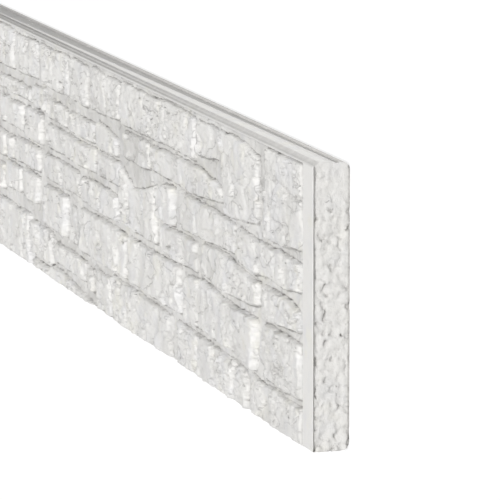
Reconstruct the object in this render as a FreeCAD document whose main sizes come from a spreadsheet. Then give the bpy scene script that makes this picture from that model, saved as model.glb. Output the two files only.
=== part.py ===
import FreeCAD, Part
import math
import os
from collections import namedtuple

import Sketcher
from FreeCAD import Vector

# Concrete gravel board: one casting that closes the foot of a fence between two slotted posts.
#
# It lies on its back. X runs along the board, Y runs from its bottom edge to its top edge, and Z
# comes out of the stone-patterned face. The origin is the middle of the flat back. All lengths are
# in millimetres and angles in degrees.

SIZES = [
    # name, value, what it is
    ("board_length", 1830.0, "over both ends"),
    ("board_height", 305.0, "bottom edge to top edge"),
    ("body_depth", 41.0, "back face to the smooth end strips"),
    ("end_strip", 40.0, "smooth strip at each end, which slides into the post"),
    ("back_radius", 9.0, "rounded long corners of the back"),
    ("foot_arris", 1.5, "small bevel along the front of the bottom edge"),
    ("top_drop", 3.5, "how far the front of the top edge falls below its ridge"),
    ("top_run", 7.7, "front face to the ridge of the top edge"),
    ("top_hollow", 1.2, "how deep the falling strip is hollowed"),
    ("back_land", 1.0, "flat left between the rounded back and the top groove"),
    ("groove_width", 7.5, "width of the shallow top groove"),
    ("groove_depth", 1.3, "depth of the shallow top groove"),
    ("lip_thickness", 1.5, "thin front lip that the mould leaves round each end"),
    ("lip_reach", 2.4, "how far that lip stands past the rough end face"),
    ("end_arris", 1.6, "small bevel along the back edge of each end face"),
    ("field_margin", 5.5, "top edge to the stone pattern"),
    ("joint_depth", 1.5, "how far the joints lie below the end strips"),
    ("stone_draft", 9.0, "slope of the sides of the stones, from upright"),
    ("corner_nick", 3.0, "knocked-off corner of a stone"),
    ("stone_root", 0.5, "how far a stone is bedded in the joint floor"),
    ("pattern_length", 1755.0, "length after which the stones repeat"),
    ("pattern_height", 316.0, "height after which the courses repeat"),
]

# The stones, course by course, as the mould draws them. Places along the board are measured from
# its right end and heights from its top edge, both in millimetres, so they grow to the left and
# downwards. Each end has its place at the stone's top and at its foot. The tops, feet and rises
# are spaced evenly from the right end to the left one, and a rise is measured from the end strips.
Stone = namedtuple("Stone", "right left tops feet rises")

TALL_CORNER_STONES = [
    Stone((41, 41), (186, 188), (7, 8, 7), (98, 104, 105), (2.0, 3.5, 3.0)),
    Stone((215, 212), (388, 350), (22, 14, 12, 13), (93, 98, 101, 102), (4.5, 4.0, 3.0)),
]
FIRST_COURSE = [
    Stone((394, 392), (483, 486), (12, 13), (47, 53), (2.0, 2.0)),
    Stone((490, 490), (846, 850), (11, 9, 12, 10), (60, 58, 61, 61), (2.5, 3.5, 2.5, 3.0)),
    Stone((855, 856), (930, 928), (12, 13), (59, 60), (3.0, 2.0)),
    Stone((937, 935), (1012, 1014), (11, 10), (61, 62), (2.0, 1.5)),
    Stone((1022, 1024), (1118, 1116), (12, 10), (62, 61), (3.5, 2.5)),
    Stone((1126, 1128), (1296, 1300), (10, 12, 11), (60, 62, 61), (3.5, 2.5, 2.0)),
    Stone((1306, 1308), (1438, 1436), (11, 13), (58, 60), (4.0, 2.5)),
    Stone((1446, 1446), (1618, 1622), (10, 9, 12), (60, 61, 62), (2.5, 3.5, 2.5)),
    Stone((1630, 1632), (1795, 1795), (11, 12, 10), (61, 62, 60), (3.5, 3.0, 2.0)),
]
SECOND_COURSE = [
    Stone((371, 362), (698, 694), (75, 66, 66, 69), (91, 98, 98, 97), (2.0, 3.5, 3.0, 2.5)),
    Stone((706, 708), (839, 838), (67, 68), (99, 100), (2.5, 2.0)),
    Stone((868, 869), (980, 978), (82, 76, 72), (103, 104, 104), (4.5, 3.5, 2.5)),
    Stone((987, 986), (1131, 1133), (79, 78, 78), (102, 103, 102), (3.5, 3.0, 2.0)),
    Stone((1139, 1140), (1255, 1257), (77, 75), (101, 101), (3.0, 2.0)),
    Stone((1264, 1265), (1335, 1333), (67, 68), (95, 96), (3.5, 2.5)),
    Stone((1342, 1343), (1548, 1550), (76, 74, 77), (91, 92, 93), (3.0, 2.5, 2.5)),
    Stone((1558, 1559), (1668, 1670), (68, 69), (94, 95), (4.0, 2.5)),
    Stone((1679, 1680), (1795, 1795), (70, 68), (96, 94), (3.5, 2.0)),
]
THIRD_COURSE = [
    Stone((41, 41), (303, 300), (113, 111, 113, 109), (142, 149, 146, 151, 148), (2.0, 3.0, 2.0)),
    Stone((318, 319), (566, 564), (108, 105, 103), (141, 144, 146), (1.0, 3.5, 3.0)),
    Stone((588, 588), (664, 664), (104, 105, 112), (149, 149), (6.0, 5.0)),
    Stone((674, 668), (846, 843), (113, 125, 131, 112), (181, 182, 180), (4.5, 3.5, 5.0)),
    Stone((853, 852), (974, 975), (110, 109), (139, 138), (3.0, 2.0)),
    Stone((982, 981), (1256, 1257), (109, 110, 108, 109), (138, 139, 138, 139), (3.0, 3.5, 2.0)),
    Stone((1278, 1279), (1385, 1383), (102, 101), (140, 141), (3.5, 2.5)),
    Stone((1392, 1390), (1538, 1540), (101, 103, 102), (136, 135, 137), (3.0, 3.5, 2.0)),
    Stone((1547, 1548), (1638, 1639), (102, 103), (138, 137), (3.5, 2.5)),
    Stone((1648, 1649), (1795, 1795), (103, 101, 104), (139, 141, 138), (4.0, 3.0, 2.0)),
]
FOURTH_COURSE = [
    Stone((50, 43), (194, 192), (163, 158, 156, 158), (186, 189, 191, 190), (2.5, 3.5, 3.0)),
    Stone((207, 206), (463, 460), (158, 156, 149, 147, 150), (184, 188, 189, 190, 184), (3.0, 3.5, 1.5)),
    Stone((483, 483), (650, 646), (153, 153, 155), (187, 188, 185), (1.0, 3.0, 2.5)),
    Stone((866, 866), (1030, 1031), (152, 150, 151), (182, 184, 183), (5.4, 4.0, 2.5)),
    Stone((1039, 1038), (1066, 1066), (152, 153), (182, 183), (2.0, 1.5)),
    Stone((1074, 1073), (1271, 1272), (149, 148, 150), (179, 180, 179), (3.5, 3.0, 2.0)),
    Stone((1294, 1295), (1442, 1443), (148, 147, 148), (177, 178, 179), (3.5, 3.5, 2.5)),
    Stone((1450, 1451), (1494, 1494), (150, 151), (180, 181), (3.0, 2.0)),
    Stone((1502, 1501), (1598, 1600), (150, 149), (182, 184), (3.5, 2.5)),
    Stone((1609, 1608), (1795, 1795), (149, 151, 150), (182, 181, 183), (4.0, 3.0, 2.5)),
]
FIFTH_COURSE = [
    Stone((41, 41), (193, 192), (199, 198, 199), (257, 259, 258), (1.5, 2.5, 2.0)),
    Stone((45, 41), (190, 190), (203, 202, 203), (225, 233, 238), (3.0, 4.5, 3.0)),
    Stone((224, 224), (535, 534), (199, 200, 198, 191, 199), (257, 250, 249, 250), (7.0, 4.5, 3.0)),
    Stone((559, 560), (811, 810), (192, 193, 192), (246, 247, 246), (3.5, 3.5, 2.5)),
    Stone((824, 822), (1070, 1069), (192, 191, 193), (245, 246, 245), (3.5, 4.0, 2.5)),
    Stone((1090, 1089), (1122, 1121), (197, 196), (243, 242), (0.5, 0.5)),
    Stone((1136, 1137), (1272, 1273), (189, 188, 190), (240, 241, 240), (7.0, 4.5, 3.0)),
    Stone((1297, 1298), (1392, 1391), (184, 183), (221, 222), (7.5, 4.0)),
    Stone((1405, 1406), (1502, 1503), (187, 186), (219, 220), (3.5, 2.5)),
    Stone((1512, 1511), (1619, 1620), (195, 194), (227, 228), (3.5, 2.5)),
    Stone((1634, 1635), (1795, 1795), (190, 192, 191), (229, 230, 228), (6.0, 4.0, 2.5)),
]
BOTTOM_COURSE = [
    Stone((41, 41), (244, 242), (266, 267, 263, 265, 262), (310, 310), (2.0, 3.0, 2.0)),
    Stone((262, 262), (578, 576), (263, 260, 258, 256), (310, 310), (0.5, 3.0, 2.5)),
    Stone((601, 601), (895, 893), (256, 254, 252), (310, 310), (0.5, 3.5, 3.0)),
    Stone((905, 906), (984, 983), (257, 258), (310, 310), (3.0, 2.0)),
    Stone((993, 994), (1026, 1025), (262, 261), (289, 290), (5.0, 3.5)),
    Stone((1035, 1034), (1214, 1212), (256, 255, 257), (281, 281, 280), (3.5, 3.5, 2.5)),
    Stone((1002, 1000), (1228, 1230), (303, 293, 287), (310, 310), (3.5, 3.5)),
    Stone((1222, 1220), (1345, 1346), (246, 247, 245), (287, 289, 288), (4.5, 3.0, 3.5)),
    Stone((1239, 1240), (1344, 1345), (296, 295), (310, 310), (3.0, 2.5)),
    Stone((1354, 1353), (1538, 1540), (240, 242, 239), (310, 310), (4.0, 3.0, 4.0, 2.5)),
    Stone((1549, 1550), (1662, 1660), (239, 240), (310, 310), (3.5, 2.5)),
    Stone((1672, 1673), (1795, 1795), (240, 241), (310, 310), (4.0, 2.5)),
]
STONES = (
    TALL_CORNER_STONES
    + FIRST_COURSE
    + SECOND_COURSE
    + THIRD_COURSE
    + FOURTH_COURSE
    + FIFTH_COURSE
    + BOTTOM_COURSE
)

doc = FreeCAD.newDocument("gravel_board")
sheet = doc.addObject("Spreadsheet::Sheet", "Sizes")
for row, (alias, value, meaning) in enumerate(SIZES, start=1):
    sheet.set(f"A{row}", alias)
    sheet.set(f"B{row}", str(value))
    sheet.set(f"C{row}", meaning)
    sheet.setAlias(f"B{row}", alias)
doc.recompute()


def size(alias):
    """Return one size from the sheet."""
    return float(sheet.get(alias))


def origin_plane(body, role):
    """Return one of a body's own origin planes."""
    return next(feature for feature in body.Origin.OriginFeatures if feature.Role == role)


def sketch_on(body, name, role):
    """Add a sketch on one of the body's origin planes."""
    sketch = body.newObject("Sketcher::SketchObject", name)
    sketch.AttachmentSupport = [(origin_plane(body, role), "")]
    sketch.MapMode = "FlatFace"
    return sketch


def dimension(sketch, name, kind, *where, formula):
    """Add one named dimension to a sketch and bind it to the sheet."""
    index = sketch.addConstraint(Sketcher.Constraint(kind, *where))
    sketch.renameConstraint(index, name)
    sketch.setExpression(f"Constraints.{name}", formula)


def draw_section(sketch):
    """Draw the board's cross-section, the same from end to end: across is Y, up is Z."""
    half = size("board_height") / 2
    depth = size("body_depth")
    ridge = depth - size("top_run")
    land = size("back_radius") + size("back_land")
    groove = land + size("groove_width")
    corners = [
        Vector(-half, 0, 0),
        Vector(-half, depth - size("foot_arris"), 0),
        Vector(-half + size("foot_arris"), depth, 0),
        Vector(half - size("top_drop"), depth, 0),
        Vector(half, ridge, 0),
        Vector(half, groove, 0),
        Vector(half, land, 0),
        Vector(half, 0, 0),
    ]
    hollows = {3: size("top_hollow"), 5: size("groove_depth")}
    for index, start in enumerate(corners):
        end = corners[(index + 1) % len(corners)]
        if index in hollows:
            into_body = Vector(end.y - start.y, start.x - end.x, 0).normalize() * hollows[index]
            edge = Part.Arc(start, (start + end) / 2 + into_body, end)
        else:
            edge = Part.LineSegment(start, end)
        sketch.addGeometry(edge)
    bottom, arris, front, fall, ridge_flat, hollow, lip, back = range(len(corners))

    for edge in range(len(corners)):
        following = (edge + 1) % len(corners)
        sketch.addConstraint(Sketcher.Constraint("Coincident", edge, 2, following, 1))
    for line in (bottom, ridge_flat, lip):
        sketch.addConstraint(Sketcher.Constraint("Vertical", line))
    for line in (front, back):
        sketch.addConstraint(Sketcher.Constraint("Horizontal", line))
    sketch.addConstraint(Sketcher.Constraint("Symmetric", back, 1, back, 2, -1, 1))
    sketch.addConstraint(Sketcher.Constraint("Vertical", ridge_flat, 2, lip, 1))

    dimension(sketch, "height", "DistanceX", back, 2, back, 1, 305, formula="Sizes.board_height")
    dimension(sketch, "depth", "DistanceY", back, 2, front, 1, 41, formula="Sizes.body_depth")
    dimension(sketch, "arris_rise", "DistanceY", arris, 1, arris, 2, 2, formula="Sizes.foot_arris")
    dimension(sketch, "arris_run", "DistanceX", arris, 1, arris, 2, 2, formula="Sizes.foot_arris")
    dimension(sketch, "drop", "DistanceX", front, 2, back, 1, 4, formula="Sizes.top_drop")
    dimension(sketch, "run", "DistanceY", fall, 2, front, 2, 8, formula="Sizes.top_run")
    dimension(sketch, "land", "DistanceY", back, 1, lip, 1, 10, formula="Sizes.back_radius + Sizes.back_land")
    dimension(sketch, "width", "DistanceY", lip, 1, ridge_flat, 2, 8, formula="Sizes.groove_width")
    chord = "(Sizes.top_drop ^ 2 + Sizes.top_run ^ 2)"
    fall_radius = f"{chord} / (8 * Sizes.top_hollow) + Sizes.top_hollow / 2"
    dimension(sketch, "fall_radius", "Radius", fall, 40, formula=fall_radius)
    groove_radius = "Sizes.groove_width ^ 2 / (8 * Sizes.groove_depth) + Sizes.groove_depth / 2"
    dimension(sketch, "groove_radius", "Radius", hollow, 7, formula=groove_radius)


def draw_outline(sketch, name, places):
    """Draw one closed outline of straight sides. Each place is two formulas, across and up."""
    first = sketch.GeometryCount
    points = [Vector(sheet.evalExpression(across), sheet.evalExpression(up), 0) for across, up in places]
    for index, point in enumerate(points):
        sketch.addGeometry(Part.LineSegment(point, points[(index + 1) % len(points)]))
    origin = (-1, 1)
    for index, (across, up) in enumerate(places):
        line = first + index
        point = points[index]
        following = first + (index + 1) % len(points)
        sketch.addConstraint(Sketcher.Constraint("Coincident", line, 2, following, 1))
        dimension(sketch, f"{name}_across_{index}", "DistanceX", *origin, line, 1, point.x, formula=across)
        dimension(sketch, f"{name}_up_{index}", "DistanceY", *origin, line, 1, point.y, formula=up)


def cast_blank():
    """Return the body of the board before the mould's stones: bar, rounded back and end lips."""
    blank = doc.addObject("PartDesign::Body", "blank")

    section = sketch_on(blank, "section", "YZ_Plane")
    draw_section(section)
    bar = blank.newObject("PartDesign::Pad", "bar")
    bar.Profile = section
    bar.SideType = "Symmetric"
    bar.setExpression("Length", "Sizes.board_length")
    doc.recompute()

    rounded_back = blank.newObject("PartDesign::Fillet", "rounded_back")
    rounded_back.Base = (bar, back_corners(bar.Shape))
    rounded_back.setExpression("Radius", "Sizes.back_radius")
    doc.recompute()

    # Seen along Y, each rough end face stands back behind the thin front lip, and its back edge
    # has a small bevel.
    ends = sketch_on(blank, "ends", "XZ_Plane")
    face = "Sizes.board_length / 2 - Sizes.lip_reach"
    past = "Sizes.board_length / 2 + Sizes.lip_reach"
    lip_back = "Sizes.body_depth - Sizes.lip_thickness"
    for name, sign in (("left", "-"), ("right", "")):
        places = [
            (f"{sign}({past})", lip_back),
            (f"{sign}({face})", lip_back),
            (f"{sign}({face})", "Sizes.end_arris"),
            (f"{sign}({face} - 2 * Sizes.end_arris)", "-Sizes.end_arris"),
            (f"{sign}({past})", "-Sizes.end_arris"),
        ]
        draw_outline(ends, name, places)
    end_faces = blank.newObject("PartDesign::Pocket", "end_faces")
    end_faces.Profile = ends
    end_faces.SideType = "Symmetric"
    end_faces.setExpression("Length", "2 * Sizes.board_height")
    doc.recompute()
    return blank


def back_corners(shape):
    """Return the names of the long edges where the back meets the top and bottom edges."""
    names = []
    for number, edge in enumerate(shape.Edges, start=1):
        box = edge.BoundBox
        lies_on_back = box.ZMax < 0.001
        runs_along = box.XLength > size("board_length") / 2
        if lies_on_back and runs_along:
            names.append(f"Edge{number}")
    return names


def stone_outline(stone, along, down):
    """Return a stone's outline, anticlockwise in plan, with its four corners knocked off."""
    half_length = size("board_length") / 2
    half_height = size("board_height") / 2
    nick = size("corner_nick")

    def place(from_right, from_top):
        return Vector(half_length - along - from_right, half_height - down - from_top, 0)

    def run(heights, start, end):
        last = len(heights) - 1
        return [place(start + (end - start) * i / last, w) for i, w in enumerate(heights)]

    top = run(stone.tops, stone.right[0], stone.left[0])
    foot = run(stone.feet, stone.right[1], stone.left[1])
    round_it = top + foot[::-1]
    corners = (top[0], top[-1], foot[-1], foot[0])
    outline = []
    for before, here, after in neighbours(round_it):
        if any(here is corner for corner in corners):
            outline.append(here + (before - here).normalize() * nick)
            outline.append(here + (after - here).normalize() * nick)
        else:
            outline.append(here)
    return outline


def neighbours(points):
    """Return each point of a closed outline with the one before it and the one after it."""
    return zip(points[-1:] + points[:-1], points, points[1:] + points[:1])


def drawn_in(outline, distance):
    """Return an anticlockwise outline with every side moved inwards by the same distance."""
    moved = []
    for before, here, after in neighbours(outline):
        arriving = (here - before).normalize()
        leaving = (after - here).normalize()
        inwards = Vector(-arriving.y - leaving.y, arriving.x + leaving.x, 0)
        moved.append(here + inwards * (distance / (1 + arriving.dot(leaving))))
    return moved


def lifted(points, level):
    """Return the points raised to one level."""
    return [Vector(point.x, point.y, level) for point in points]


def frustum(low, high):
    """Return the solid between two outlines with parallel sides."""
    faces = [Part.Face(Part.makePolygon(low + low[:1])), Part.Face(Part.makePolygon(high + high[:1]))]
    for index in range(len(low)):
        following = (index + 1) % len(low)
        side = [low[index], low[following], high[following], high[index], low[index]]
        faces.append(Part.Face(Part.makePolygon(side)))
    solid = Part.Solid(Part.Shell(faces))
    solid.fix(0.001, 0.001, 0.001)
    return solid


def cast_stone(stone, along, down):
    """Return one stone: drafted sides under a face that follows the stone's rises."""
    floor = size("body_depth") - size("joint_depth") - size("stone_root")
    crest = size("body_depth") + max(stone.rises) + 1
    draft = math.tan(math.radians(size("stone_draft")))
    outline = stone_outline(stone, along, down)
    block = frustum(lifted(outline, floor), lifted(drawn_in(outline, (crest - floor) * draft), crest))

    # The face is a folded strip, seen from the bottom edge as a line over the stone's length.
    box = block.BoundBox
    last = len(stone.rises) - 1
    folds = [
        Vector(box.XMax - box.XLength * i / last, box.YMin - 1, size("body_depth") + rise)
        for i, rise in enumerate(stone.rises)
    ]
    ground = [Vector(folds[-1].x, folds[-1].y, floor), Vector(folds[0].x, folds[0].y, floor)]
    profile = Part.Face(Part.makePolygon(folds + ground + folds[:1]))
    return block.common(profile.extrude(Vector(0, box.YLength + 2, 0)))


def cast_stones():
    """Return all the stones that the board's length and height have room for, joined together."""
    repeats_along = math.ceil(size("board_length") / size("pattern_length"))
    repeats_down = math.ceil(size("board_height") / size("pattern_height"))
    blocks = []
    for column in range(repeats_along):
        for line in range(repeats_down):
            along = column * size("pattern_length")
            down = line * size("pattern_height")
            blocks += [cast_stone(stone, along, down) for stone in STONES]
    stones = doc.addObject("Part::Feature", "stones")
    stones.Shape = blocks[0].multiFuse(blocks[1:])
    return stones


def field_box(name, floor, height):
    """Return a box over the patterned field: between the end strips and below the top margin."""
    box = doc.addObject("Part::Box", name)
    box.setExpression("Length", "Sizes.board_length - 2 * Sizes.end_strip")
    box.setExpression("Width", "Sizes.board_height - Sizes.field_margin")
    box.setExpression("Height", height)
    box.setExpression("Placement.Base.x", "Sizes.end_strip - Sizes.board_length / 2")
    box.setExpression("Placement.Base.y", "-Sizes.board_height / 2")
    box.setExpression("Placement.Base.z", floor)
    return box


def boolean(kind, name, base, tool):
    """Combine two objects of the document."""
    result = doc.addObject(f"Part::{kind}", name)
    result.Base = base
    result.Tool = tool
    return result


def check_document():
    """Stop where an object of the document has failed."""
    for item in doc.Objects:
        if "Invalid" in item.State or "Error" in item.State:
            raise RuntimeError(f"{item.Name} failed: {item.State}")


blank = cast_blank()
recess = field_box("recess", "Sizes.body_depth - Sizes.joint_depth", "Sizes.joint_depth + 1")
recessed = boolean("Cut", "recessed", blank, recess)
mould = field_box("mould", "0", "2 * Sizes.body_depth")
patterned = boolean("Common", "patterned", cast_stones(), mould)
board = boolean("Fuse", "gravel_board", recessed, patterned)
board.Label = "gravel_board"
doc.recompute()
check_document()

if board.Shape.isNull() or not board.Shape.isValid() or len(board.Shape.Solids) != 1:
    raise RuntimeError("gravel_board is not one valid solid")

os.makedirs("parts", exist_ok=True)
board.Shape.exportStep("parts/gravel_board.step")
box = board.Shape.BoundBox
print(f"gravel_board {box.XLength:.1f} x {box.YLength:.1f} x {box.ZLength:.1f} mm")
print(f"{len(STONES)} stones, {len(board.Shape.Faces)} faces, {board.Shape.Volume / 1e9:.5f} cubic metres")
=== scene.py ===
"""Looks of a precast concrete gravel board, lying on its back with its stone face up."""

import logging
import math
from dataclasses import dataclass, fields, replace
from enum import Enum
from typing import Any

import bpy
from mathutils import Euler, Matrix, Vector

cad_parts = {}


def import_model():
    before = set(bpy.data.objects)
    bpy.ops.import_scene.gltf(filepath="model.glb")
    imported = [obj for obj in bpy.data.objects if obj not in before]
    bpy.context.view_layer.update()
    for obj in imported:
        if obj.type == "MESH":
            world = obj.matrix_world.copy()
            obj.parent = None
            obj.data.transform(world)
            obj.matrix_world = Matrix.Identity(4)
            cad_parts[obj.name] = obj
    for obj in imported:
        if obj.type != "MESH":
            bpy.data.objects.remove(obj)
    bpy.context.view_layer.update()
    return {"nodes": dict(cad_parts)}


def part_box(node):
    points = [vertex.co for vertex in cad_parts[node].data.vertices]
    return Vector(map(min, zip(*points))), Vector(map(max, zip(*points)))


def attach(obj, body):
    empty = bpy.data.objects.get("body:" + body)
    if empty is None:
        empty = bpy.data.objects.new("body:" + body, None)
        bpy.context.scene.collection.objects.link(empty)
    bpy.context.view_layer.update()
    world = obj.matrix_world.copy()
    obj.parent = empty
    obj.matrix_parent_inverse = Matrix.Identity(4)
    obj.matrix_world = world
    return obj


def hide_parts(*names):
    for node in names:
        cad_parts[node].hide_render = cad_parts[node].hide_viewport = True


LOG = logging.getLogger("gravel_board")
MM = 0.001
BOARD_NODE = "gravel_board"

Socket = bpy.types.NodeSocket
Triple = tuple[float, float, float]
NO_SHIFT = Vector((0.0, 0.0, 0.0))
WHITE = (1.0, 1.0, 1.0, 1.0)


class Side(Enum):
    """The faces of the board that carry relief, each with the turn from up to its normal."""

    FRONT = (0.0, 0.0, 0.0)
    RIGHT_END = (0.0, math.pi / 2, 0.0)
    LEFT_END = (0.0, -math.pi / 2, 0.0)

    @property
    def turn(self) -> Euler:
        """Return the turn from straight up to this side's normal."""
        return Euler(self.value)

    @property
    def normal(self) -> Vector:
        """Return the outward normal of this side."""
        normal = Vector((0.0, 0.0, 1.0))
        normal.rotate(self.turn)
        return normal


@dataclass(frozen=True)
class Pattern:
    """A fixed noise: the size of its lumps, its seed, and its finer octaves and their strength."""

    grain: float
    seed: float
    detail: float = 2.0
    roughness: float = 0.5


@dataclass(frozen=True)
class Step:
    """A smooth step: the values between which it runs, and its results at them."""

    low: float
    high: float
    start: float = 0.0
    end: float = 1.0

    def above(self, level: float) -> "Step":
        """Return this step, measured from a level."""
        return replace(self, low=level + self.low, high=level + self.high)


class Graph:
    """A node tree, with short calls for the nodes that this script uses."""

    half = 0.5
    middle = (half, half, half)
    noise_span = 4.0
    facet_lean = 3.0

    def __init__(self, tree: bpy.types.NodeTree) -> None:
        """Keep the shader or geometry node tree that the calls add to."""
        self.tree = tree

    def feed(self, socket: Socket, value: Any) -> None:
        """Link a socket to another one, or set its value.

        Args:
            socket: the input to fill.
            value: an output socket, or a plain value.
        """
        if isinstance(value, Socket):
            self.tree.links.new(value, socket)
        elif value is not None:
            socket.default_value = value

    def add(self, kind: str, inputs: dict | None = None, **settings: Any) -> bpy.types.Node:
        """Add a node.

        Args:
            kind: the node's type.
            inputs: what to feed to each input, by name or by index.
            settings: the node's own properties.

        Returns:
            The new node.
        """
        node = self.tree.nodes.new(kind)
        for name, value in settings.items():
            setattr(node, name, value)
        for key, value in (inputs or {}).items():
            self.feed(node.inputs[key], value)
        return node

    def math(self, operation: str, *values: Any) -> Socket:
        """Add a Math node and return its result."""
        return self.add("ShaderNodeMath", dict(enumerate(values)), operation=operation).outputs[0]

    def chain(self, operation: str, *values: Any) -> Any:
        """Return one Math operation carried through several values.

        Args:
            operation: the operation's name.
            values: what it joins, in order.

        Returns:
            The last output socket, or the value itself where there is only one.
        """
        result = values[0]
        for value in values[1:]:
            result = self.math(operation, result, value)
        return result

    def total(self, *values: Any) -> Socket:
        """Return the sum of several values."""
        return self.chain("ADD", *values)

    def product(self, *values: Any) -> Socket:
        """Return the product of several values."""
        return self.chain("MULTIPLY", *values)

    def vector(self, operation: str, *values: Any, output: int | str = 0) -> Socket:
        """Add a Vector Math node and return its vector, or the output that is named."""
        node = self.add("ShaderNodeVectorMath", dict(enumerate(values)), operation=operation)
        return node.outputs[output]

    def joined(self, along: Any, across: Any, height: Any) -> Socket:
        """Return a vector made of three values."""
        return self.add("ShaderNodeCombineXYZ", {"X": along, "Y": across, "Z": height}).outputs[0]

    def parts(self, vector: Any) -> bpy.types.NodeOutputs:
        """Return a vector's X, Y and Z outputs."""
        return self.add("ShaderNodeSeparateXYZ", {0: vector}).outputs

    def step(self, value: Any, step: Step) -> Socket:
        """Return a smooth step of a value.

        Args:
            value: what is stepped.
            step: where the step runs, and its results.

        Returns:
            The output socket.
        """
        inputs = {
            "Value": value,
            "From Min": step.low,
            "From Max": step.high,
            "To Min": step.start,
            "To Max": step.end,
        }
        node = self.add("ShaderNodeMapRange", inputs, interpolation_type="SMOOTHSTEP")
        return node.outputs["Result"]

    def noise(self, where: Any, pattern: Pattern) -> bpy.types.NodeOutputs:
        """Add a fixed noise.

        Args:
            where: the place to read it, in metres.
            pattern: its grain, seed and octaves.

        Returns:
            The noise node's outputs, whose Fac is centred on a half.
        """
        inputs = {
            "Vector": where,
            "W": pattern.seed,
            "Scale": 1.0 / pattern.grain,
            "Detail": pattern.detail,
            "Roughness": pattern.roughness,
        }
        return self.add("ShaderNodeTexNoise", inputs, noise_dimensions="4D").outputs

    def patches(self, where: Any, pattern: Pattern, step: Step) -> Socket:
        """Return a noise stepped into patches."""
        return self.step(self.noise(where, pattern)["Fac"], step)

    def swing(self, where: Any, pattern: Pattern, height: Any) -> Socket:
        """Return a noise that swings evenly about nought, about so high to each side."""
        centred = self.math("SUBTRACT", self.noise(where, pattern)["Fac"], self.half)
        return self.product(centred, self.noise_span, height)

    def strayed(self, where: Any, pattern: Pattern, reach: Any) -> Socket:
        """Return a place moved about by a noise, within a reach along each axis."""
        shift = self.vector("SUBTRACT", self.noise(where, pattern)["Color"], self.middle)
        return self.vector("ADD", where, self.vector("MULTIPLY", shift, reach))

    def facets(self, where: Any, pattern: Pattern, height: Any) -> Socket:
        """Return the height of a broken face, made of flat facets that lean at random.

        Args:
            where: the place to read it, in metres.
            pattern: the size of the facets, and a seed that shifts them; it has no octaves.
            height: about how far the facets swing to each side.

        Returns:
            The output socket.
        """
        place = self.vector("ADD", where, (pattern.seed, pattern.seed, pattern.seed))
        inputs = {"Vector": place, "Scale": 1.0 / pattern.grain}
        cells = self.add("ShaderNodeTexVoronoi", inputs).outputs
        lean = self.vector("SUBTRACT", cells["Color"], self.middle)
        offset = self.vector("SUBTRACT", place, cells["Position"])
        tilt = self.vector("DOT_PRODUCT", lean, offset, output="Value")
        rise = self.math("MULTIPLY", tilt, self.facet_lean / pattern.grain)
        return self.product(self.total(rise, self.parts(lean)["X"]), height)


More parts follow.
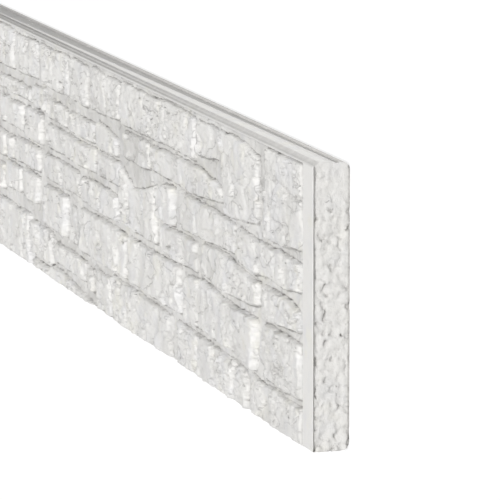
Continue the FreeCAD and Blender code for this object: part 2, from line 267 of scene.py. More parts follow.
@dataclass(frozen=True)
class ConcreteFinish:
    """Pale cast concrete: matt, blotchy and stained, with fine sand and cracks in its skin."""

    colour: Triple = (0.785, 0.775, 0.755)
    cool_tint: Triple = (0.745, 0.740, 0.738)
    warm_tint: Triple = (0.785, 0.772, 0.727)
    # Stain tone: the real stains, and also the painted shade on the top edge, in the joints and
    # along the ends' back edge.
    stain: Triple = (0.52, 0.51, 0.49)
    # Dark tone: real dirt in the cracks, and painted shade in the hollows.
    dirt: Triple = (0.22, 0.21, 0.20)

    # The blotches of the skin, and how far its clouds, sand and grit stain or raise it.
    cool_blotch: Pattern = Pattern(38 * MM, 3.0)
    cool_step: Step = Step(0.45, 0.68)
    warm_blotch: Pattern = Pattern(26.6 * MM, 8.0)
    warm_step: Step = Step(0.54, 0.72)
    cloud: Pattern = Pattern(11 * MM, 5.0, 4.0, 0.65)
    cloud_stain: Step = Step(0.54, 0.80, 0.0, 0.20)
    cloud_rise: float = 1.2
    sand: Pattern = Pattern(1.3 * MM, 1.0, 3.0, 0.7)
    sand_stain: Step = Step(0.64, 0.76, 0.0, 0.16)
    sand_rise: float = 0.4
    grit: Pattern = Pattern(4.2 * MM, 63.0, 3.0, 0.65)
    grit_rise: float = 0.5

    # Fine cracks with real dirt in them, and painted shade in the hollows from ambient occlusion.
    crack_stretch: Triple = (0.5, 1.0, 1.0)
    crack_line: Pattern = Pattern(22 * MM, 61.0)
    crack_width: Step = Step(0.003, 0.022, 1.0, 0.0)
    crack_patch: Pattern = Pattern(40 * MM, 62.0)
    crack_patch_step: Step = Step(0.44, 0.60)
    crack_dirt: float = 0.30
    crack_rise: float = -0.8
    hollow_reach: float = 4 * MM
    hollow_samples: int = 8
    # Painted shade in the hollows, and less of it on the top edge.
    hollow_shade: Step = Step(0.30, 0.93, 0.88, 0.0)
    top_hollow_shade: Step = Step(0.0, 1.0, 1.0, 0.35)

    bump_strength: float = 0.8
    bump_distance: float = 0.8 * MM
    roughness: float = 0.88
    specular: float = 0.3

    def material(self, darkened: "StainAndShade") -> bpy.types.Material:
        """Return the material, built from nodes on object coordinates.

        Args:
            darkened: where the board is darker than the rest, by real stain and by painted shade.

        Returns:
            The material.
        """
        material = bpy.data.materials.new("pale_concrete")
        material.use_nodes = True
        graph = Graph(material.node_tree)
        shader = material.node_tree.nodes["Principled BSDF"]
        place = graph.add("ShaderNodeTexCoord").outputs["Object"]
        sand = graph.noise(place, self.sand)["Fac"]
        cloud = graph.noise(place, self.cloud)["Fac"]
        cracks = graph.product(self.cracks(graph, place), darkened.in_field(graph, place))

        cool = graph.patches(place, self.cool_blotch, self.cool_step)
        warm = graph.patches(place, self.warm_blotch, self.warm_step)
        colour = self.blend(graph, cool, self.colour, self.cool_tint)
        colour = self.blend(graph, warm, colour, self.warm_tint)
        colour = self.blend(graph, graph.step(cloud, self.cloud_stain), colour, self.stain)
        colour = self.blend(graph, graph.step(sand, self.sand_stain), colour, self.stain)
        # Real stain, and painted shade on the top edge, in the joints and along the ends' back
        # edge.
        colour = self.blend(graph, darkened.share(graph, place, cloud), colour, self.stain)
        colour = self.blend(graph, graph.product(cracks, self.crack_dirt), colour, self.dirt)
        # Painted shade in creases and recesses, from ambient occlusion.
        hollows = self.hollows(graph, darkened.on_top(graph, place))
        graph.feed(shader.inputs["Base Color"], self.blend(graph, hollows, colour, self.dirt))

        grit = graph.swing(place, self.grit, self.grit_rise)
        skin = graph.total(
            graph.product(sand, self.sand_rise),
            graph.product(cloud, self.cloud_rise),
            graph.product(cracks, self.crack_rise),
            graph.product(grit, darkened.rough(graph, place)),
        )
        inputs = {"Strength": self.bump_strength, "Distance": self.bump_distance, "Height": skin}
        bump = graph.add("ShaderNodeBump", inputs)
        graph.feed(shader.inputs["Normal"], bump.outputs["Normal"])
        shader.inputs["Roughness"].default_value = self.roughness
        shader.inputs["Specular IOR Level"].default_value = self.specular
        return material

    def cracks(self, graph: Graph, place: Any) -> Socket:
        """Return how much a place lies in a fine crack, a thin wandering line broken off in places.

        Args:
            graph: the material's tree.
            place: the object coordinates.

        Returns:
            The share's socket.
        """
        stretched = graph.vector("MULTIPLY", place, self.crack_stretch)
        line = graph.noise(stretched, self.crack_line)["Fac"]
        near = graph.math("ABSOLUTE", graph.math("SUBTRACT", line, graph.half))
        patch = graph.patches(place, self.crack_patch, self.crack_patch_step)
        return graph.product(graph.step(near, self.crack_width), patch)

    def hollows(self, graph: Graph, on_top: Any) -> Socket:
        """Return how much painted shade lies in the hollows, from ambient occlusion, less of it on
        the moulded top edge.

        Args:
            graph: the material's tree.
            on_top: the share of a place that is on the top edge.

        Returns:
            The share's socket.
        """
        inputs = {"Distance": self.hollow_reach}
        samples = self.hollow_samples
        # Painted shade: ambient occlusion darkens the creases and recesses.
        node = graph.add("ShaderNodeAmbientOcclusion", inputs, samples=samples, only_local=True)
        dirt = graph.step(node.outputs["AO"], self.hollow_shade)
        return graph.product(dirt, graph.step(on_top, self.top_hollow_shade))

    def blend(self, graph: Graph, share: Any, first: Any, second: Triple) -> Socket:
        """Return a mix of two colours.

        Args:
            graph: the material's tree.
            share: how much of the second colour.
            first: the first colour, plain or a socket.
            second: the second colour.

        Returns:
            The mixed colour's socket.
        """
        mix = graph.add("ShaderNodeMix", {0: share, 7: (*second, 1.0)}, data_type="RGBA")
        graph.feed(mix.inputs[6], (*first, 1.0) if isinstance(first, tuple) else first)
        return mix.outputs[2]


@dataclass(frozen=True)
class StainAndShade:
    """Where the board is darker: along its top edge, in its joints and on its ends, partly by real
    stain and partly by painted shade.
    """

    # Where its parts lie, over the floor, from its middle or along it.
    plane: float
    ridge: float
    edge: float
    groove_near: float
    groove_far: float
    field_end: float
    field_top: float
    end_plane: float

    # The darkening of the stone field and the ends: real stain in patches, real stain and painted
    # shade in the joints, the ends darker overall, and painted shade along their back edge. Bands
    # are measured from the part they follow.
    uneven: Step = Step(0.30, 0.60, 0.75, 1.15)
    # Joint band: real stain and painted shade in the recessed joints.
    joint_band: Step = Step(-1.2 * MM, 1.5 * MM, 0.45, 0.0)
    joint_patch: Pattern = Pattern(70 * MM, 71.0, 3.0, 0.6)
    joint_patch_step: Step = Step(0.40, 0.62, 0.15, 1.0)
    field_patch: Pattern = Pattern(60 * MM, 72.0, 3.0, 0.55)
    field_patch_step: Step = Step(0.42, 0.64, 0.0, 0.20)
    field_depth: float = 8 * MM
    end_share: float = 0.45
    # Foot band: painted shade along each end's back edge, next to the floor.
    foot_band: Step = Step(1.6 * MM, 2.8 * MM, 0.90, 0.0)

    # The darkening of the top edge, and where it stops: darker on its fall, and painted shade on
    # its land and in its groove.
    fall_band: Step = Step(-3.2 * MM, 1.4 * MM, 0.16, 0.60)
    front_band: Step = Step(-3.5 * MM, 0.0, 0.0, 0.35)
    front_limit: Step = Step(0.3 * MM, 0.9 * MM, 1.0, 0.0)
    # Land and groove bands: painted shade where the top edge turns away from the light.
    land_band: Step = Step(1 * MM, 12 * MM, 0.34, 0.0)
    groove_band: Step = Step(-5 * MM, -1.5 * MM, 0.34, 0.0)
    back_limit: Step = Step(-7 * MM, -1 * MM)
    top_limit: Step = Step(-5.6 * MM, -5 * MM)
    end_limit: Step = Step(-4.6 * MM, -4 * MM)
    lip_gap: float = 0.8 * MM
    edge_gap: float = 0.3 * MM

    def share(self, graph: Graph, place: Any, cloud: Any) -> Socket:
        """Return how much darker a place is, by real stain and by painted shade.

        Args:
            graph: the material's tree.
            place: the object coordinates.
            cloud: a noise that makes the stain uneven.

        Returns:
            The share's socket.
        """
        height = graph.parts(place)["Z"]
        # The joints are darker: partly real stain, partly painted shade in the recesses.
        joint = graph.step(height, self.joint_band.above(self.plane))
        patchy = graph.patches(place, self.joint_patch, self.joint_patch_step)
        patch = graph.patches(place, self.field_patch, self.field_patch_step)
        stones = graph.total(graph.product(joint, patchy), patch)
        stones = graph.product(stones, self.in_field(graph, place))
        top = graph.product(self.top_share(graph, place), graph.step(cloud, self.uneven))
        # Painted shade along the back edge of each end, next to the floor.
        foot = graph.step(height, self.foot_band)
        end = graph.product(self.on_end(graph, place), graph.total(self.end_share, foot))
        return graph.total(top, stones, end)

    def top_share(self, graph: Graph, place: Any) -> Socket:
        """Return how much darker the top edge is, nought on the rest of the board: darker on its
        fall, with painted shade on its land and in its groove.

        Args:
            graph: the material's tree.
            place: the object coordinates.

        Returns:
            The share's socket.
        """
        height = graph.parts(place)["Z"]
        fall = graph.step(height, self.fall_band.above(self.ridge))
        fall = graph.math("SUBTRACT", fall, graph.step(height, self.front_band.above(self.plane)))
        fall = graph.product(fall, graph.step(height, self.front_limit.above(self.plane)))
        # Painted shade on the land and in the groove, darkest towards the back.
        land = graph.step(height, self.land_band.above(self.groove_near))
        groove = graph.total(land, graph.step(height, self.groove_band.above(self.groove_near)))
        groove = graph.product(groove, graph.step(height, self.back_limit.above(self.groove_far)))
        return graph.product(graph.total(fall, groove), self.on_top(graph, place))

    def on_top(self, graph: Graph, place: Any) -> Socket:
        """Return 1 on the moulded top edge, as far as the rough ends.

        Args:
            graph: the material's tree.
            place: the object coordinates.

        Returns:
            The mask's socket.
        """
        near_top = graph.step(graph.parts(place)["Y"], self.top_limit.above(self.edge))
        off_end = graph.math("SUBTRACT", near_top, self.on_end(graph, place))
        return graph.math("MAXIMUM", off_end, 0.0)

    def in_field(self, graph: Graph, place: Any) -> Socket:
        """Return 1 on the stone field of the face.

        Args:
            graph: the material's tree.
            place: the object coordinates.

        Returns:
            The mask's socket.
        """
        parts = graph.parts(place)
        inside = graph.math("LESS_THAN", graph.math("ABSOLUTE", parts["X"]), self.field_end)
        below = graph.math("LESS_THAN", parts["Y"], self.field_top)
        facing = graph.math("GREATER_THAN", parts["Z"], self.plane - self.field_depth)
        return graph.product(inside, below, facing)

    def on_end(self, graph: Graph, place: Any) -> Socket:
        """Return 1 on the rough ends, down into their hollows.

        Args:
            graph: the material's tree.
            place: the object coordinates.

        Returns:
            The mask's socket.
        """
        parts = graph.parts(place)
        outwards, upwards = (graph.math("ABSOLUTE", parts[axis]) for axis in ("X", "Y"))
        near_end = graph.step(outwards, self.end_limit.above(self.end_plane))
        behind = graph.math("LESS_THAN", parts["Z"], self.plane - self.lip_gap)
        between = graph.math("LESS_THAN", upwards, self.edge - self.edge_gap)
        return graph.product(near_end, behind, between)

    def rough(self, graph: Graph, place: Any) -> Socket:
        """Return 1 where the board is rough: in the stone field and on the ends."""
        return graph.math("MAXIMUM", self.in_field(graph, place), self.on_end(graph, place))


@dataclass(frozen=True)
class Relief:
    """How rough the casting is: the named inputs of its tree, all in metres."""

    stray: float = 13 * MM
    edge_wear: float = 0.7 * MM
    crease: float = 1.9 * MM
    lump: float = 1.3 * MM
    plate: float = 2.4 * MM
    facet: float = 1.5 * MM
    chip: float = 1.2 * MM
    crumb: float = 0.5 * MM
    mortar: float = 0.75 * MM
    blob: float = 1.2 * MM
    hump: float = 1.0 * MM
    flake: float = 1.6 * MM
    grit: float = 0.5 * MM

    def inputs(self) -> dict[str, float]:
        """Return the value of each named input."""
        names = [item.name for item in fields(self)]
        return {name.replace("_", " ").title(): getattr(self, name) for name in names}


@dataclass(frozen=True)
class SplitStone:
    """The broken face of the stones, most rubbly where one broke badly, and the mortar."""

    stretch: Triple = (0.6, 1.0, 1.0)
    wander: Pattern = Pattern(16 * MM, 41.0, 3.0, 0.6)
    wander_reach: Triple = (9 * MM, 9 * MM, 0.0)
    plates: Pattern = Pattern(42 * MM, 5.0)
    facets: Pattern = Pattern(22 * MM, 3.0)
    chips: Pattern = Pattern(8.5 * MM, 7.0)
    lumps: Pattern = Pattern(45 * MM, 21.0)
    crumbs: Pattern = Pattern(4.5 * MM, 23.0, 2.0, 0.6)
    spots: Pattern = Pattern(90 * MM, 43.0)
    spots_step: Step = Step(0.46, 0.60, 0.35, 1.3)

    # The badly broken stone, and the mortar of the joints.
    rubble_place: Triple = (270 * MM, 113 * MM, 0.0)
    rubble_length: float = 150 * MM
    rubble_height: float = 38 * MM
    rubble_step: Step = Step(0.5, 1.1, 1.1, 0.0)
    mortar_wander: Pattern = Pattern(12 * MM, 26.0, 3.0, 0.6)
    mortar_reach: Triple = (8 * MM, 8 * MM, 0.0)
    mortar_facets: Pattern = Pattern(13 * MM, 9.0)
    mortar_lumps: Pattern = Pattern(14 * MM, 24.0, 3.0, 0.6)

    def face(self, graph: Graph, given: Any, place: Any) -> Socket:
        """Return how far the face of a stone stands over its fold.

        Args:
            graph: the tree.
            given: the tree's named inputs.
            place: where on the face.

        Returns:
            The height's socket.
        """
        wander = graph.strayed(place, self.wander, self.wander_reach)
        stretched = graph.vector("MULTIPLY", wander, self.stretch)
        rubbly = self.rubbly(graph, place)
        return graph.total(
            graph.facets(stretched, self.plates, given["Plate"]),
            graph.facets(stretched, self.facets, given["Facet"]),
            graph.product(graph.facets(wander, self.chips, given["Chip"]), rubbly),
            graph.swing(place, self.lumps, given["Lump"]),
            graph.product(graph.swing(place, self.crumbs, given["Crumb"]), rubbly),
        )

    def rubbly(self, graph: Graph, place: Any) -> Socket:
        """Return how rubbly a place is: more in some spots, and most where a stone broke badly.

        Args:
            graph: the tree.
            place: where on the face.

        Returns:
            The share's socket.
        """
        reach = (1 / self.rubble_length, 1 / self.rubble_height, 0.0)
        offset = graph.vector("SUBTRACT", place, self.rubble_place)
        distance = graph.vector("LENGTH", graph.vector("MULTIPLY", offset, reach), output="Value")
        spots = graph.patches(place, self.spots, self.spots_step)
        return graph.total(spots, graph.step(distance, self.rubble_step))

    def mortar(self, graph: Graph, given: Any, place: Any) -> Socket:
        """Return how far the mortar of the joints stands over their floor.

        Args:
            graph: the tree.
            given: the tree's named inputs.
            place: where on the face.

        Returns:
            The height's socket.
        """
        wander = graph.strayed(place, self.mortar_wander, self.mortar_reach)
        stretched = graph.vector("MULTIPLY", wander, self.stretch)
        broken = graph.facets(stretched, self.mortar_facets, given["Mortar"])
        return graph.total(broken, graph.swing(place, self.mortar_lumps, given["Mortar"]))


@dataclass(frozen=True)
class RoughEnd:
    """The rough concrete of an end, calmer towards the top edge."""

    squash: Triple = (1.0, 0.85, 1.0)
    wander: Pattern = Pattern(9 * MM, 51.0, 3.0, 0.6)
    wander_reach: Triple = (0.0, 6 * MM, 6 * MM)
    flakes: Pattern = Pattern(8.5 * MM, 5.0)
    blobs: Pattern = Pattern(6.5 * MM, 31.0, 3.0, 0.65)
    humps: Pattern = Pattern(15 * MM, 32.0)
    grit: Pattern = Pattern(3.4 * MM, 33.0)
    calm: Step = Step(-62 * MM, -38 * MM, 1.0, 0.45)
    sunk: float = 0.9 * MM
    proudest: float = 0.2 * MM

    def surface(self, graph: Graph, given: Any, place: Any, edge: float) -> Socket:
        """Return how far the rough concrete stands over the plain end.

        Args:
            graph: the tree.
            given: the tree's named inputs.
            place: where on the end.
            edge: the height of the board's top edge over its middle.

        Returns:
            The height's socket.
        """
        squashed = graph.vector("MULTIPLY", place, self.squash)
        wander = graph.strayed(squashed, self.wander, self.wander_reach)
        rough = graph.total(
            graph.facets(wander, self.flakes, given["Flake"]),
            graph.swing(squashed, self.blobs, given["Blob"]),
            graph.swing(place, self.humps, given["Hump"]),
            graph.swing(place, self.grit, given["Grit"]),
        )
        rough = graph.product(rough, graph.step(graph.parts(place)["Y"], self.calm.above(edge)))
        return graph.math("MINIMUM", graph.math("SUBTRACT", rough, self.sunk), self.proudest)


@dataclass(frozen=True)
class Setting:
    """How a stone sits in the field: how far its outline strays, how it is worn, and its bed."""

    stray: Pattern = Pattern(24 * MM, 11.0, 3.0, 0.6)
    stray_along: float = 1.5
    stray_across: float = 0.62
    free_end: Step = Step(0.0, 12 * MM, 0.15, 1.0)
    free_top: Step = Step(0.0, 6 * MM, 0.2, 1.0)
    border: Step = Step(-0.5 * MM, 1 * MM)
    worn_end: Pattern = Pattern(16 * MM, 12.0)
    worn_end_reach: float = 3.5 * MM
    worn_end_step: Step = Step(0.0, 8 * MM)
    foot_reach: float = 1.3 * MM
    crown_reach: float = 1.7 * MM
    worn: Step = Step(0.3 * MM, 3 * MM)
    flank: Step = Step(0.5 * MM, 1.8 * MM, 1.0, 0.3)
    creased: Step = Step(1 * MM, 2.4 * MM)
    crease_patch: Pattern = Pattern(45 * MM, 13.0)
    crease_patch_step: Step = Step(0.38, 0.62, 0.5, 1.3)
    bed_cover: float = 0.2 * MM
    bed_top: float = -0.3 * MM
    stone_foot: float = 0.2 * MM
    warp: Pattern = Pattern(60 * MM, 25.0)
    warp_height: float = 0.08 * MM


@dataclass(frozen=True)
class Skin:
    """How finely one face of the board is made, and how far it reads the solid below it."""

    side: Side
    plane: float
    length: float
    width: float
    grid: tuple[float, float]
    lowest: float
    highest: float
    reach: float

    def counts(self) -> tuple[int, int]:
        """Return the number of vertices along the face and across it."""
        return round(self.length / self.grid[0]) + 1, round(self.width / self.grid[1]) + 1

    def turned(self, along: float, across: float) -> Vector:
        """Return a shift within this face, turned to its side.

        Args:
            along: the shift along the face's own X.
            across: the shift along its own Y.

        Returns:
            The shift in the board's frame.
        """
        shift = Vector((along, across, 0.0))
        shift.rotate(self.side.turn)
        return shift


@dataclass(frozen=True)
class Probe:
    """Reads how high the board's solid stands over the plane of one side."""

    graph: Graph
    skin: Skin
    solid: Socket
    depth: float
    standoff: float = 20 * MM

    def height(self, place: Any, shift: Vector = NO_SHIFT) -> Socket:
        """Return the height of the solid at a place.

        Args:
            place: where on the side.
            shift: how far beside that place to read it.

        Returns:
            The height's socket, nought where the solid is missed.
        """
        graph = self.graph
        normal = self.skin.side.normal
        inputs = {
            "Target Geometry": self.solid,
            "Source Position": graph.vector("ADD", place, normal * self.standoff + shift),
            "Ray Direction": -normal,
            "Ray Length": 2 * self.standoff + self.depth,
        }
        ray = graph.add("GeometryNodeRaycast", inputs).outputs
        height = graph.math("SUBTRACT", self.standoff, ray["Hit Distance"])
        height = graph.math("MAXIMUM", height, self.skin.lowest)
        height = graph.math("MINIMUM", height, self.skin.highest)
        return graph.math("MULTIPLY", height, ray["Is Hit"])

    def around(self, place: Any, distance: float) -> list[Socket]:
        """Return the heights of the solid at four places, each so far from the given one."""
        steps = ((distance, 0.0), (-distance, 0.0), (0.0, distance), (0.0, -distance))
        return [self.height(place, self.skin.turned(*step)) for step in steps]


@dataclass
class CastBoard:
    """The board's visible shape: its solid, with the relief of the casting on the face and ends."""

    # The casting's own sizes, as in its solid.
    depth: float = 41 * MM
    end_strip: float = 40 * MM
    top_drop: float = 3.5 * MM
    top_run: float = 7.7 * MM
    groove_place: float = 23.5 * MM
    groove_width: float = 7.5 * MM
    field_margin: float = 5.5 * MM
    lip_thickness: float = 1.5 * MM
    lip_reach: float = 2.4 * MM
    joint_depth: float = 1.5 * MM

    # How finely the relief is made, and how far it reaches.
    face_grid: tuple[float, float] = (2.6 * MM, 1.1 * MM)
    face_lowest: float = -3.6 * MM
    end_grid: tuple[float, float] = (1.4 * MM, 1.5 * MM)
    end_lowest: float = -4 * MM
    overhang: float = 6 * MM
    lip_fade: Step = Step(-0.9 * MM, -0.1 * MM, 1.0, 0.0)
    rounding: float = 1 * MM
    seam: float = 0.002 * MM
    cover_overlap: float = 2.5 * MM
    cover_gap: float = 0.4 * MM
    cover_rise: float = 5 * MM

    # How the mesh is thinned, trued up and shaded.
    edge_margin: float = 0.2 * MM
    end_margin: float = 3 * MM
    strip_margin: float = 0.5 * MM
    strip_upright: float = 0.98
    end_snap: float = 0.5 * MM
    triangle_limit: int = 186_000
    sharp_angle: float = 42.0

    # What rides on which body, and how it looks.
    body: str = "root"
    relief: Relief = Relief()
    setting: Setting = Setting()
    stone: SplitStone = SplitStone()
    rough_end: RoughEnd = RoughEnd()
    finish: ConcreteFinish = ConcreteFinish()

    def __post_init__(self) -> None:
        """Read the board's outer size from the solid."""
        self.low, self.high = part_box(BOARD_NODE)
        self.half_length = self.high.x
        self.half_height = self.high.y
        self.end_plane = self.half_length - self.lip_reach

    def build(self, solid: bpy.types.Object) -> bpy.types.Object:
        """Build the board as one closed mesh.

        Args:
            solid: the board's solid, which the relief is laid on.

        Returns:
            The finished object, which rides on the board's body.
        """
        board = bpy.data.objects.new("concrete_board", bpy.data.meshes.new("carrier"))
        bpy.context.scene.collection.objects.link(board)
        modifier = board.modifiers.new("cast", "NODES")
        modifier.node_group = self.tree(self.finish.material(self.soiling()))
        values = {"Solid": solid, **self.relief.inputs()}
        for item in modifier.node_group.interface.items_tree:
            if item.in_out == "INPUT":
                modifier[item.identifier] = values[item.name]
        self.settle(board)

        thinned = board.vertex_groups.new(name="thinned")
        rough = [vertex.index for vertex in board.data.vertices if self.is_rough(vertex.co)]
        thinned.add(rough, 1.0, "REPLACE")
        thin = board.modifiers.new("thin", "DECIMATE")
        thin.vertex_group = thinned.name
        thin.ratio = min(1.0, self.triangle_limit / self.triangles(board.data))
        self.settle(board)
        self.keep_inside(board.data)
        board.data.shade_smooth()
        board.data.set_sharp_from_angle(angle=math.radians(self.sharp_angle))
        for face in board.data.polygons:
            face.use_smooth = not self.is_smooth_strip(face)

        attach(board, self.body)
        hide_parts(BOARD_NODE)
        return board

    def settle(self, board: bpy.types.Object) -> None:
        """Turn the result of the board's modifiers into its plain mesh.

        Args:
            board: the object, which keeps no modifier.
        """
        evaluated = board.evaluated_get(bpy.context.evaluated_depsgraph_get())
        mesh = bpy.data.meshes.new_from_object(evaluated)
        board.modifiers.clear()
        board.data = mesh

    def is_rough(self, place: Vector) -> bool:
        """Return whether a place is on the face or an end, and not on the moulded top edge.

        Args:
            place: the place of a vertex.

        Returns:
            True where the mesh may be thinned.
        """
        on_edge = place.y > self.half_height - self.top_drop - self.edge_margin
        moulded = on_edge and place.z < self.depth + self.edge_margin
        return not moulded or abs(place.x) > self.end_plane - self.end_margin

    def is_smooth_strip(self, face: bpy.types.MeshPolygon) -> bool:
        """Return whether a triangle is in a flat strip at the end of the face.

        Args:
            face: the triangle.

        Returns:
            True where the triangle is level with the strip, and so is shaded flat.
        """
        past_field = abs(face.center.x) > self.half_length - self.end_strip
        at_plane = abs(face.center.z - self.depth) < self.strip_margin
        return past_field and face.normal.z > self.strip_upright and at_plane

    def keep_inside(self, mesh: bpy.types.Mesh) -> None:
        """Bring the vertices that thinning moved back into the solid's box and out to its ends.

        Args:
            mesh: the board's mesh.
        """
        for vertex in mesh.vertices:
            inside = zip(self.low, vertex.co, self.high)
            vertex.co = [min(max(value, low), high) for low, value, high in inside]
            if self.half_length - abs(vertex.co.x) < self.end_snap:
                vertex.co.x = math.copysign(self.half_length, vertex.co.x)

    def triangles(self, mesh: bpy.types.Mesh) -> int:
        """Return how many triangles a mesh is drawn with."""
        return len(mesh.loops) - 2 * len(mesh.polygons)

    def soiling(self) -> StainAndShade:
        """Return where the board is darker.

        Returns:
            The levels that the darkening is measured from.
        """
        near = self.depth - self.groove_place
        return StainAndShade(
            plane=self.depth,
            ridge=self.depth - self.top_run,
            edge=self.half_height,
            groove_near=near,
            groove_far=near - self.groove_width,
            field_end=self.half_length - self.end_strip,
            field_top=self.half_height - self.field_margin,
            end_plane=self.end_plane,
        )

    def tree(self, material: bpy.types.Material) -> bpy.types.NodeTree:
        """Return the tree that cuts the solid to the relief of its face and ends.

        Args:
            material: the finish that the tree sets.

        Returns:
            The node tree.
        """
        tree = bpy.data.node_groups.new("cast_board", "GeometryNodeTree")
        tree.interface.new_socket("Solid", in_out="INPUT", socket_type="NodeSocketObject")
        for name in self.relief.inputs():
            tree.interface.new_socket(name, in_out="INPUT", socket_type="NodeSocketFloat")
        tree.interface.new_socket("Geometry", in_out="OUTPUT", socket_type="NodeSocketGeometry")
        graph = Graph(tree)
        given = graph.add("NodeGroupInput").outputs
        info = graph.add("GeometryNodeObjectInfo", {"Object": given["Solid"]})
        inputs = {"Geometry": info.outputs["Geometry"], "Distance": self.seam}
        solid = graph.add("GeometryNodeMergeByDistance", inputs).outputs["Geometry"]

        shape = self.combined(graph, "UNION", solid, self.cover(graph))
        for skin in self.skins():
            block = self.block(graph, given, skin, solid)
            shape = self.combined(graph, "INTERSECT", shape, block)

        real = graph.add("GeometryNodeRealizeInstances", {"Geometry": shape})
        inputs = {"Geometry": real.outputs[0], "Material": material}
        dressed = graph.add("GeometryNodeSetMaterial", inputs)
        graph.add("NodeGroupOutput", {"Geometry": dressed.outputs[0]})
        return tree

    def combined(self, graph: Graph, operation: str, first: Any, second: Any) -> Socket:
        """Return two closed meshes combined.

        Args:
            graph: the tree.
            operation: UNION or INTERSECT.
            first: the first mesh.
            second: the second mesh.

        Returns:
            The combined mesh's socket.
        """
        node = graph.add("GeometryNodeMeshBoolean", operation=operation, solver="MANIFOLD")
        graph.feed(node.inputs["Mesh 2"], first)
        graph.feed(node.inputs["Mesh 2"], second)
        return node.outputs["Mesh"]

    def cover(self, graph: Graph) -> Socket:
        """Return a plain block over the stone field, which the face's relief is cut out of.

        Args:
            graph: the tree.

        Returns:
            The block's socket.
        """
        end = self.half_length - self.end_strip + self.cover_overlap
        top = self.half_height - self.top_drop - self.cover_gap
        low = Vector((-end, -self.half_height, self.depth - 2 * self.joint_depth))
        high = Vector((end, top, self.high.z + self.cover_rise))
        cube = graph.add("GeometryNodeMeshCube", {"Size": high - low})
        inputs = {"Geometry": cube.outputs["Mesh"], "Translation": (low + high) / 2}
        return graph.add("GeometryNodeTransform", inputs).outputs[0]

    def skins(self) -> list[Skin]:
        """Return the settings of the three faces that carry relief.

        Returns:
            The front's settings, and then those of the right and the left end.
        """
        length = 2 * (self.half_length + self.overhang)
        height = 2 * (self.half_height + self.overhang)
        front = Skin(
            side=Side.FRONT,
            plane=self.depth,
            length=length,
            width=height,
            grid=self.face_grid,
            lowest=self.face_lowest,
            highest=self.high.z - self.depth,
            reach=self.depth + self.overhang,
        )
        right = Skin(
            side=Side.RIGHT_END,
            plane=self.end_plane,
            length=2 * (self.high.z + self.overhang),
            width=height,
            grid=self.end_grid,
            lowest=self.end_lowest,
            highest=self.lip_reach,
            reach=length,
        )
        return [front, right, replace(right, side=Side.LEFT_END)]

    def block(self, graph: Graph, given: Any, skin: Skin, solid: Socket) -> Socket:
        """Return a block whose one face is the relief of the board's side.

        Args:
            graph: the tree.
            given: the tree's named inputs.
            skin: the side's settings.
            solid: the board's solid, which the face reads.

        Returns:
            The block's socket.
        """
        along, across = skin.counts()
        size = (skin.length, skin.width, 2 * skin.reach)
        inputs = {"Size": size, "Vertices X": along, "Vertices Y": across}
        cube = graph.add("GeometryNodeMeshCube", inputs)
        parts = graph.parts(graph.add("GeometryNodeInputPosition").outputs[0])
        origin = skin.side.normal * skin.plane
        turn = graph.add("FunctionNodeEulerToRotation", {"Euler": skin.side.value}).outputs[0]
        inputs = {"Vector": graph.joined(parts["X"], parts["Y"], 0.0), "Rotation": turn}
        turned = graph.add("FunctionNodeRotateVector", inputs).outputs[0]
        place = graph.vector("ADD", turned, origin)

        relief = self.face_height if skin.side is Side.FRONT else self.end_height
        height = relief(Probe(graph, skin, solid, self.depth), given, place)
        height = graph.math("SMOOTH_MIN", height, skin.highest, self.rounding)
        inputs = {
            "Geometry": cube.outputs["Mesh"],
            "Selection": graph.math("GREATER_THAN", parts["Z"], 0.0),
            "Position": graph.joined(parts["X"], parts["Y"], height),
        }
        moved = graph.add("GeometryNodeSetPosition", inputs).outputs[0]
        inputs = {"Geometry": moved, "Translation": origin, "Rotation": skin.side.turn}
        return graph.add("GeometryNodeTransform", inputs).outputs[0]

    def face_height(self, probe: Probe, given: Any, place: Any) -> Socket:
        """Return the height of the stone face: worn stones, broken faces and creased joints.

        Args:
            probe: what reads the solid.
            given: the tree's named inputs.
            place: where on the side.

        Returns:
            The height's socket.
        """
        graph = probe.graph
        setting = self.setting
        parts = graph.parts(place)
        outwards = graph.math("ABSOLUTE", parts["X"])
        from_end = graph.math("SUBTRACT", self.half_length - self.end_strip, outwards)
        from_top = graph.math("SUBTRACT", self.half_height - self.field_margin, parts["Y"])
        borders = [graph.step(distance, setting.border) for distance in (from_end, from_top)]
        in_field = graph.product(*borders)

        strayed = self.strayed(graph, given, place, from_end, from_top)
        read = probe.height(strayed)
        worn_end = graph.swing(place, setting.worn_end, setting.worn_end_reach)
        worn_end = graph.step(graph.total(from_end, worn_end), setting.worn_end_step)
        proud = graph.product(graph.math("MAXIMUM", read, 0.0), worn_end)
        centre = graph.total(graph.math("MINIMUM", read, 0.0), proud)
        feet = probe.around(strayed, setting.foot_reach)
        crowns = probe.around(strayed, setting.crown_reach)
        fall = graph.math("SUBTRACT", centre, graph.chain("MINIMUM", *feet))
        rise = graph.math("SUBTRACT", graph.chain("MAXIMUM", *crowns), centre)

        bed = setting.bed_cover - self.joint_depth
        crease = graph.product(
            graph.product(graph.step(rise, setting.creased), given["Crease"]),
            graph.step(centre, Step(bed, setting.bed_top, 1.0, 0.0)),
            in_field,
            graph.patches(place, setting.crease_patch, setting.crease_patch_step),
        )
        wear = graph.product(graph.step(fall, setting.worn), given["Edge Wear"])
        stone = graph.product(graph.step(centre, Step(bed, setting.stone_foot)), in_field)
        bedding = graph.product(in_field, graph.math("SUBTRACT", 1.0, stone))
        split = graph.product(self.stone.face(graph, given, place), graph.step(fall, setting.flank))
        raised = graph.total(
            centre,
            graph.product(split, stone),
            graph.product(self.stone.mortar(graph, given, place), bedding),
            graph.swing(place, setting.warp, setting.warp_height),
        )
        return graph.math("SUBTRACT", raised, graph.total(wear, crease))

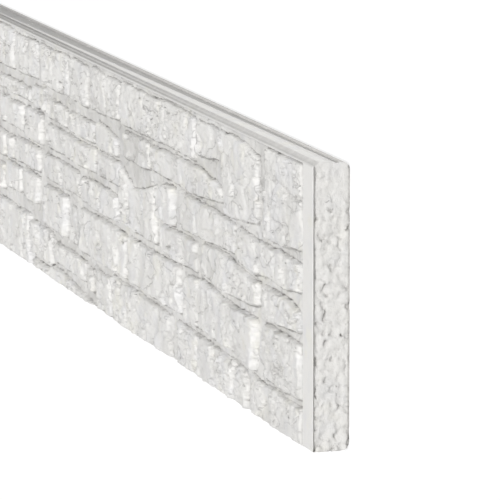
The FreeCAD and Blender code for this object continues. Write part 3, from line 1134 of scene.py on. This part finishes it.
    def strayed(self, graph: Graph, given: Any, place: Any, from_end: Any, from_top: Any) -> Socket:
        """Return the place that a stone's outline is read at, so that it wanders.

        Args:
            graph: the tree.
            given: the tree's named inputs.
            place: where on the face.
            from_end: how far that is from the end of the stone field.
            from_top: how far it is from the field's top.

        Returns:
            The moved place's socket, which strays least at the field's borders.
        """
        setting = self.setting
        along = graph.product(given["Stray"], setting.stray_along)
        across = graph.product(given["Stray"], setting.stray_across)
        reach = graph.joined(along, across, 0.0)
        near_end = graph.step(from_end, setting.free_end)
        free = graph.product(near_end, graph.step(from_top, setting.free_top))
        reach = graph.vector("MULTIPLY", reach, graph.joined(free, free, free))
        return graph.strayed(place, setting.stray, reach)

    def end_height(self, probe: Probe, given: Any, place: Any) -> Socket:
        """Return the height of an end: rough concrete behind the thin straight lip of the front.

        Args:
            probe: what reads the solid.
            given: the tree's named inputs.
            place: where on the side.

        Returns:
            The height's socket.
        """
        graph = probe.graph
        rough = self.rough_end.surface(graph, given, place, self.half_height)
        lip_back = self.lip_fade.above(self.depth - self.lip_thickness)
        behind_lip = graph.step(graph.parts(place)["Z"], lip_back)
        return graph.total(probe.height(place), graph.product(rough, behind_lip))


@dataclass(frozen=True)
class Lamp:
    """One soft lamp, far away: where it stands, how strong it is and how many degrees wide."""

    name: str
    towards: Triple
    strength: float
    spread: float

    def build(self) -> None:
        """Make the lamp."""
        data = bpy.data.lights.new(self.name, "SUN")
        data.energy = self.strength
        data.angle = math.radians(self.spread)
        lamp = bpy.data.objects.new(self.name, data)
        lamp.rotation_euler = Vector(self.towards).to_track_quat("Z", "Y").to_euler()
        bpy.context.scene.collection.objects.link(lamp)


@dataclass(frozen=True)
class Studio:
    """The plain pale floor, the soft light and the camera at the photograph's angle."""

    lens: float = 360.0
    sensor: float = 36.0
    sight: float = 200.0
    station: Triple = (5.8505, 0.8304, 1.4263)
    aim: Triple = (0.6625, 0.0250, 0.0410)
    upright: Triple = (0.0, 1.0, 0.0)
    floor_reach: float = 60.0
    floor_shade: float = 0.60
    seen_floor_shade: float = 0.30
    seen_floor_glow: float = 0.75
    sky_strength: float = 0.38
    lamps: tuple[Lamp, ...] = (
        Lamp("key_lamp", (0.77, 0.11, 0.63), 2.82, 12.0),
        Lamp("edge_lamp", (0.02, 1.00, 0.04), 0.6, 6.0),
        Lamp("back_lamp", (-0.62, -0.78, 0.08), 0.9, 30.0),
    )

    def build(self) -> None:
        """Make the camera, the lamps, the world and the floor."""
        self.camera()
        for lamp in self.lamps:
            lamp.build()
        self.world()
        self.floor()

    def camera(self) -> None:
        """Make the camera, whose picture keeps the board's top edge upwards."""
        data = bpy.data.cameras.new("camera")
        data.lens = self.lens
        data.sensor_width = self.sensor
        data.clip_end = self.sight
        camera = bpy.data.objects.new("camera", data)
        bpy.context.scene.collection.objects.link(camera)
        backwards = (Vector(self.station) - Vector(self.aim)).normalized()
        right = Vector(self.upright).cross(backwards).normalized()
        matrix = Matrix((right, backwards.cross(right), backwards)).transposed().to_4x4()
        matrix.translation = Vector(self.station)
        camera.matrix_world = matrix
        bpy.context.scene.camera = camera

    def world(self) -> None:
        """Make an even sky that the camera sees as white."""
        world = bpy.data.worlds.new("studio")
        bpy.context.scene.world = world
        world.use_nodes = True
        graph = Graph(world.node_tree)
        background = world.node_tree.nodes["Background"]
        background.inputs["Color"].default_value = WHITE
        strength = graph.math("MAXIMUM", self.seen(graph), self.sky_strength)
        graph.feed(background.inputs["Strength"], strength)

    def seen(self, graph: Graph) -> Socket:
        """Return 1 for rays that show the background, straight, mirrored or through glass.

        Args:
            graph: the tree.

        Returns:
            The output socket.
        """
        path = graph.add("ShaderNodeLightPath").outputs
        rays = (path[f"Is {kind} Ray"] for kind in ("Camera", "Glossy", "Transmission"))
        return graph.chain("MAXIMUM", *rays)

    def floor(self) -> bpy.types.Object:
        """Make the floor: white to the camera, with a faint shadow of the board on it.

        Returns:
            The floor's object.
        """
        reach = self.floor_reach
        mesh = bpy.data.meshes.new("floor")
        corners = [(-reach, -reach, 0), (reach, -reach, 0), (reach, reach, 0), (-reach, reach, 0)]
        mesh.from_pydata(corners, [], [(0, 1, 2, 3)])
        material = bpy.data.materials.new("white_floor")
        material.use_nodes = True
        tree = material.node_tree
        tree.nodes.remove(tree.nodes["Principled BSDF"])
        graph = Graph(tree)
        plain, faint = (
            graph.add("ShaderNodeBsdfDiffuse", {"Color": (shade, shade, shade, 1.0)}).outputs[0]
            for shade in (self.floor_shade, self.seen_floor_shade)
        )
        glow = graph.add("ShaderNodeEmission", {"Color": WHITE, "Strength": self.seen_floor_glow})
        white = graph.add("ShaderNodeAddShader", {0: faint, 1: glow.outputs[0]}).outputs[0]
        shown = graph.add("ShaderNodeMixShader", {0: self.seen(graph), 1: plain, 2: white})
        graph.feed(tree.nodes["Material Output"].inputs["Surface"], shown.outputs[0])
        mesh.materials.append(material)
        floor = bpy.data.objects.new("floor", mesh)
        bpy.context.scene.collection.objects.link(floor)
        return floor


def main() -> None:
    """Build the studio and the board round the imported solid."""
    logging.basicConfig(level=logging.INFO, format="%(message)s")
    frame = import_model()
    bpy.context.scene.view_settings.view_transform = "Standard"
    Studio().build()
    cast = CastBoard()
    board = cast.build(frame["nodes"][BOARD_NODE])
    LOG.info("%s: %d triangles", board.name, cast.triangles(board.data))


if __name__ == "__main__":
    main()
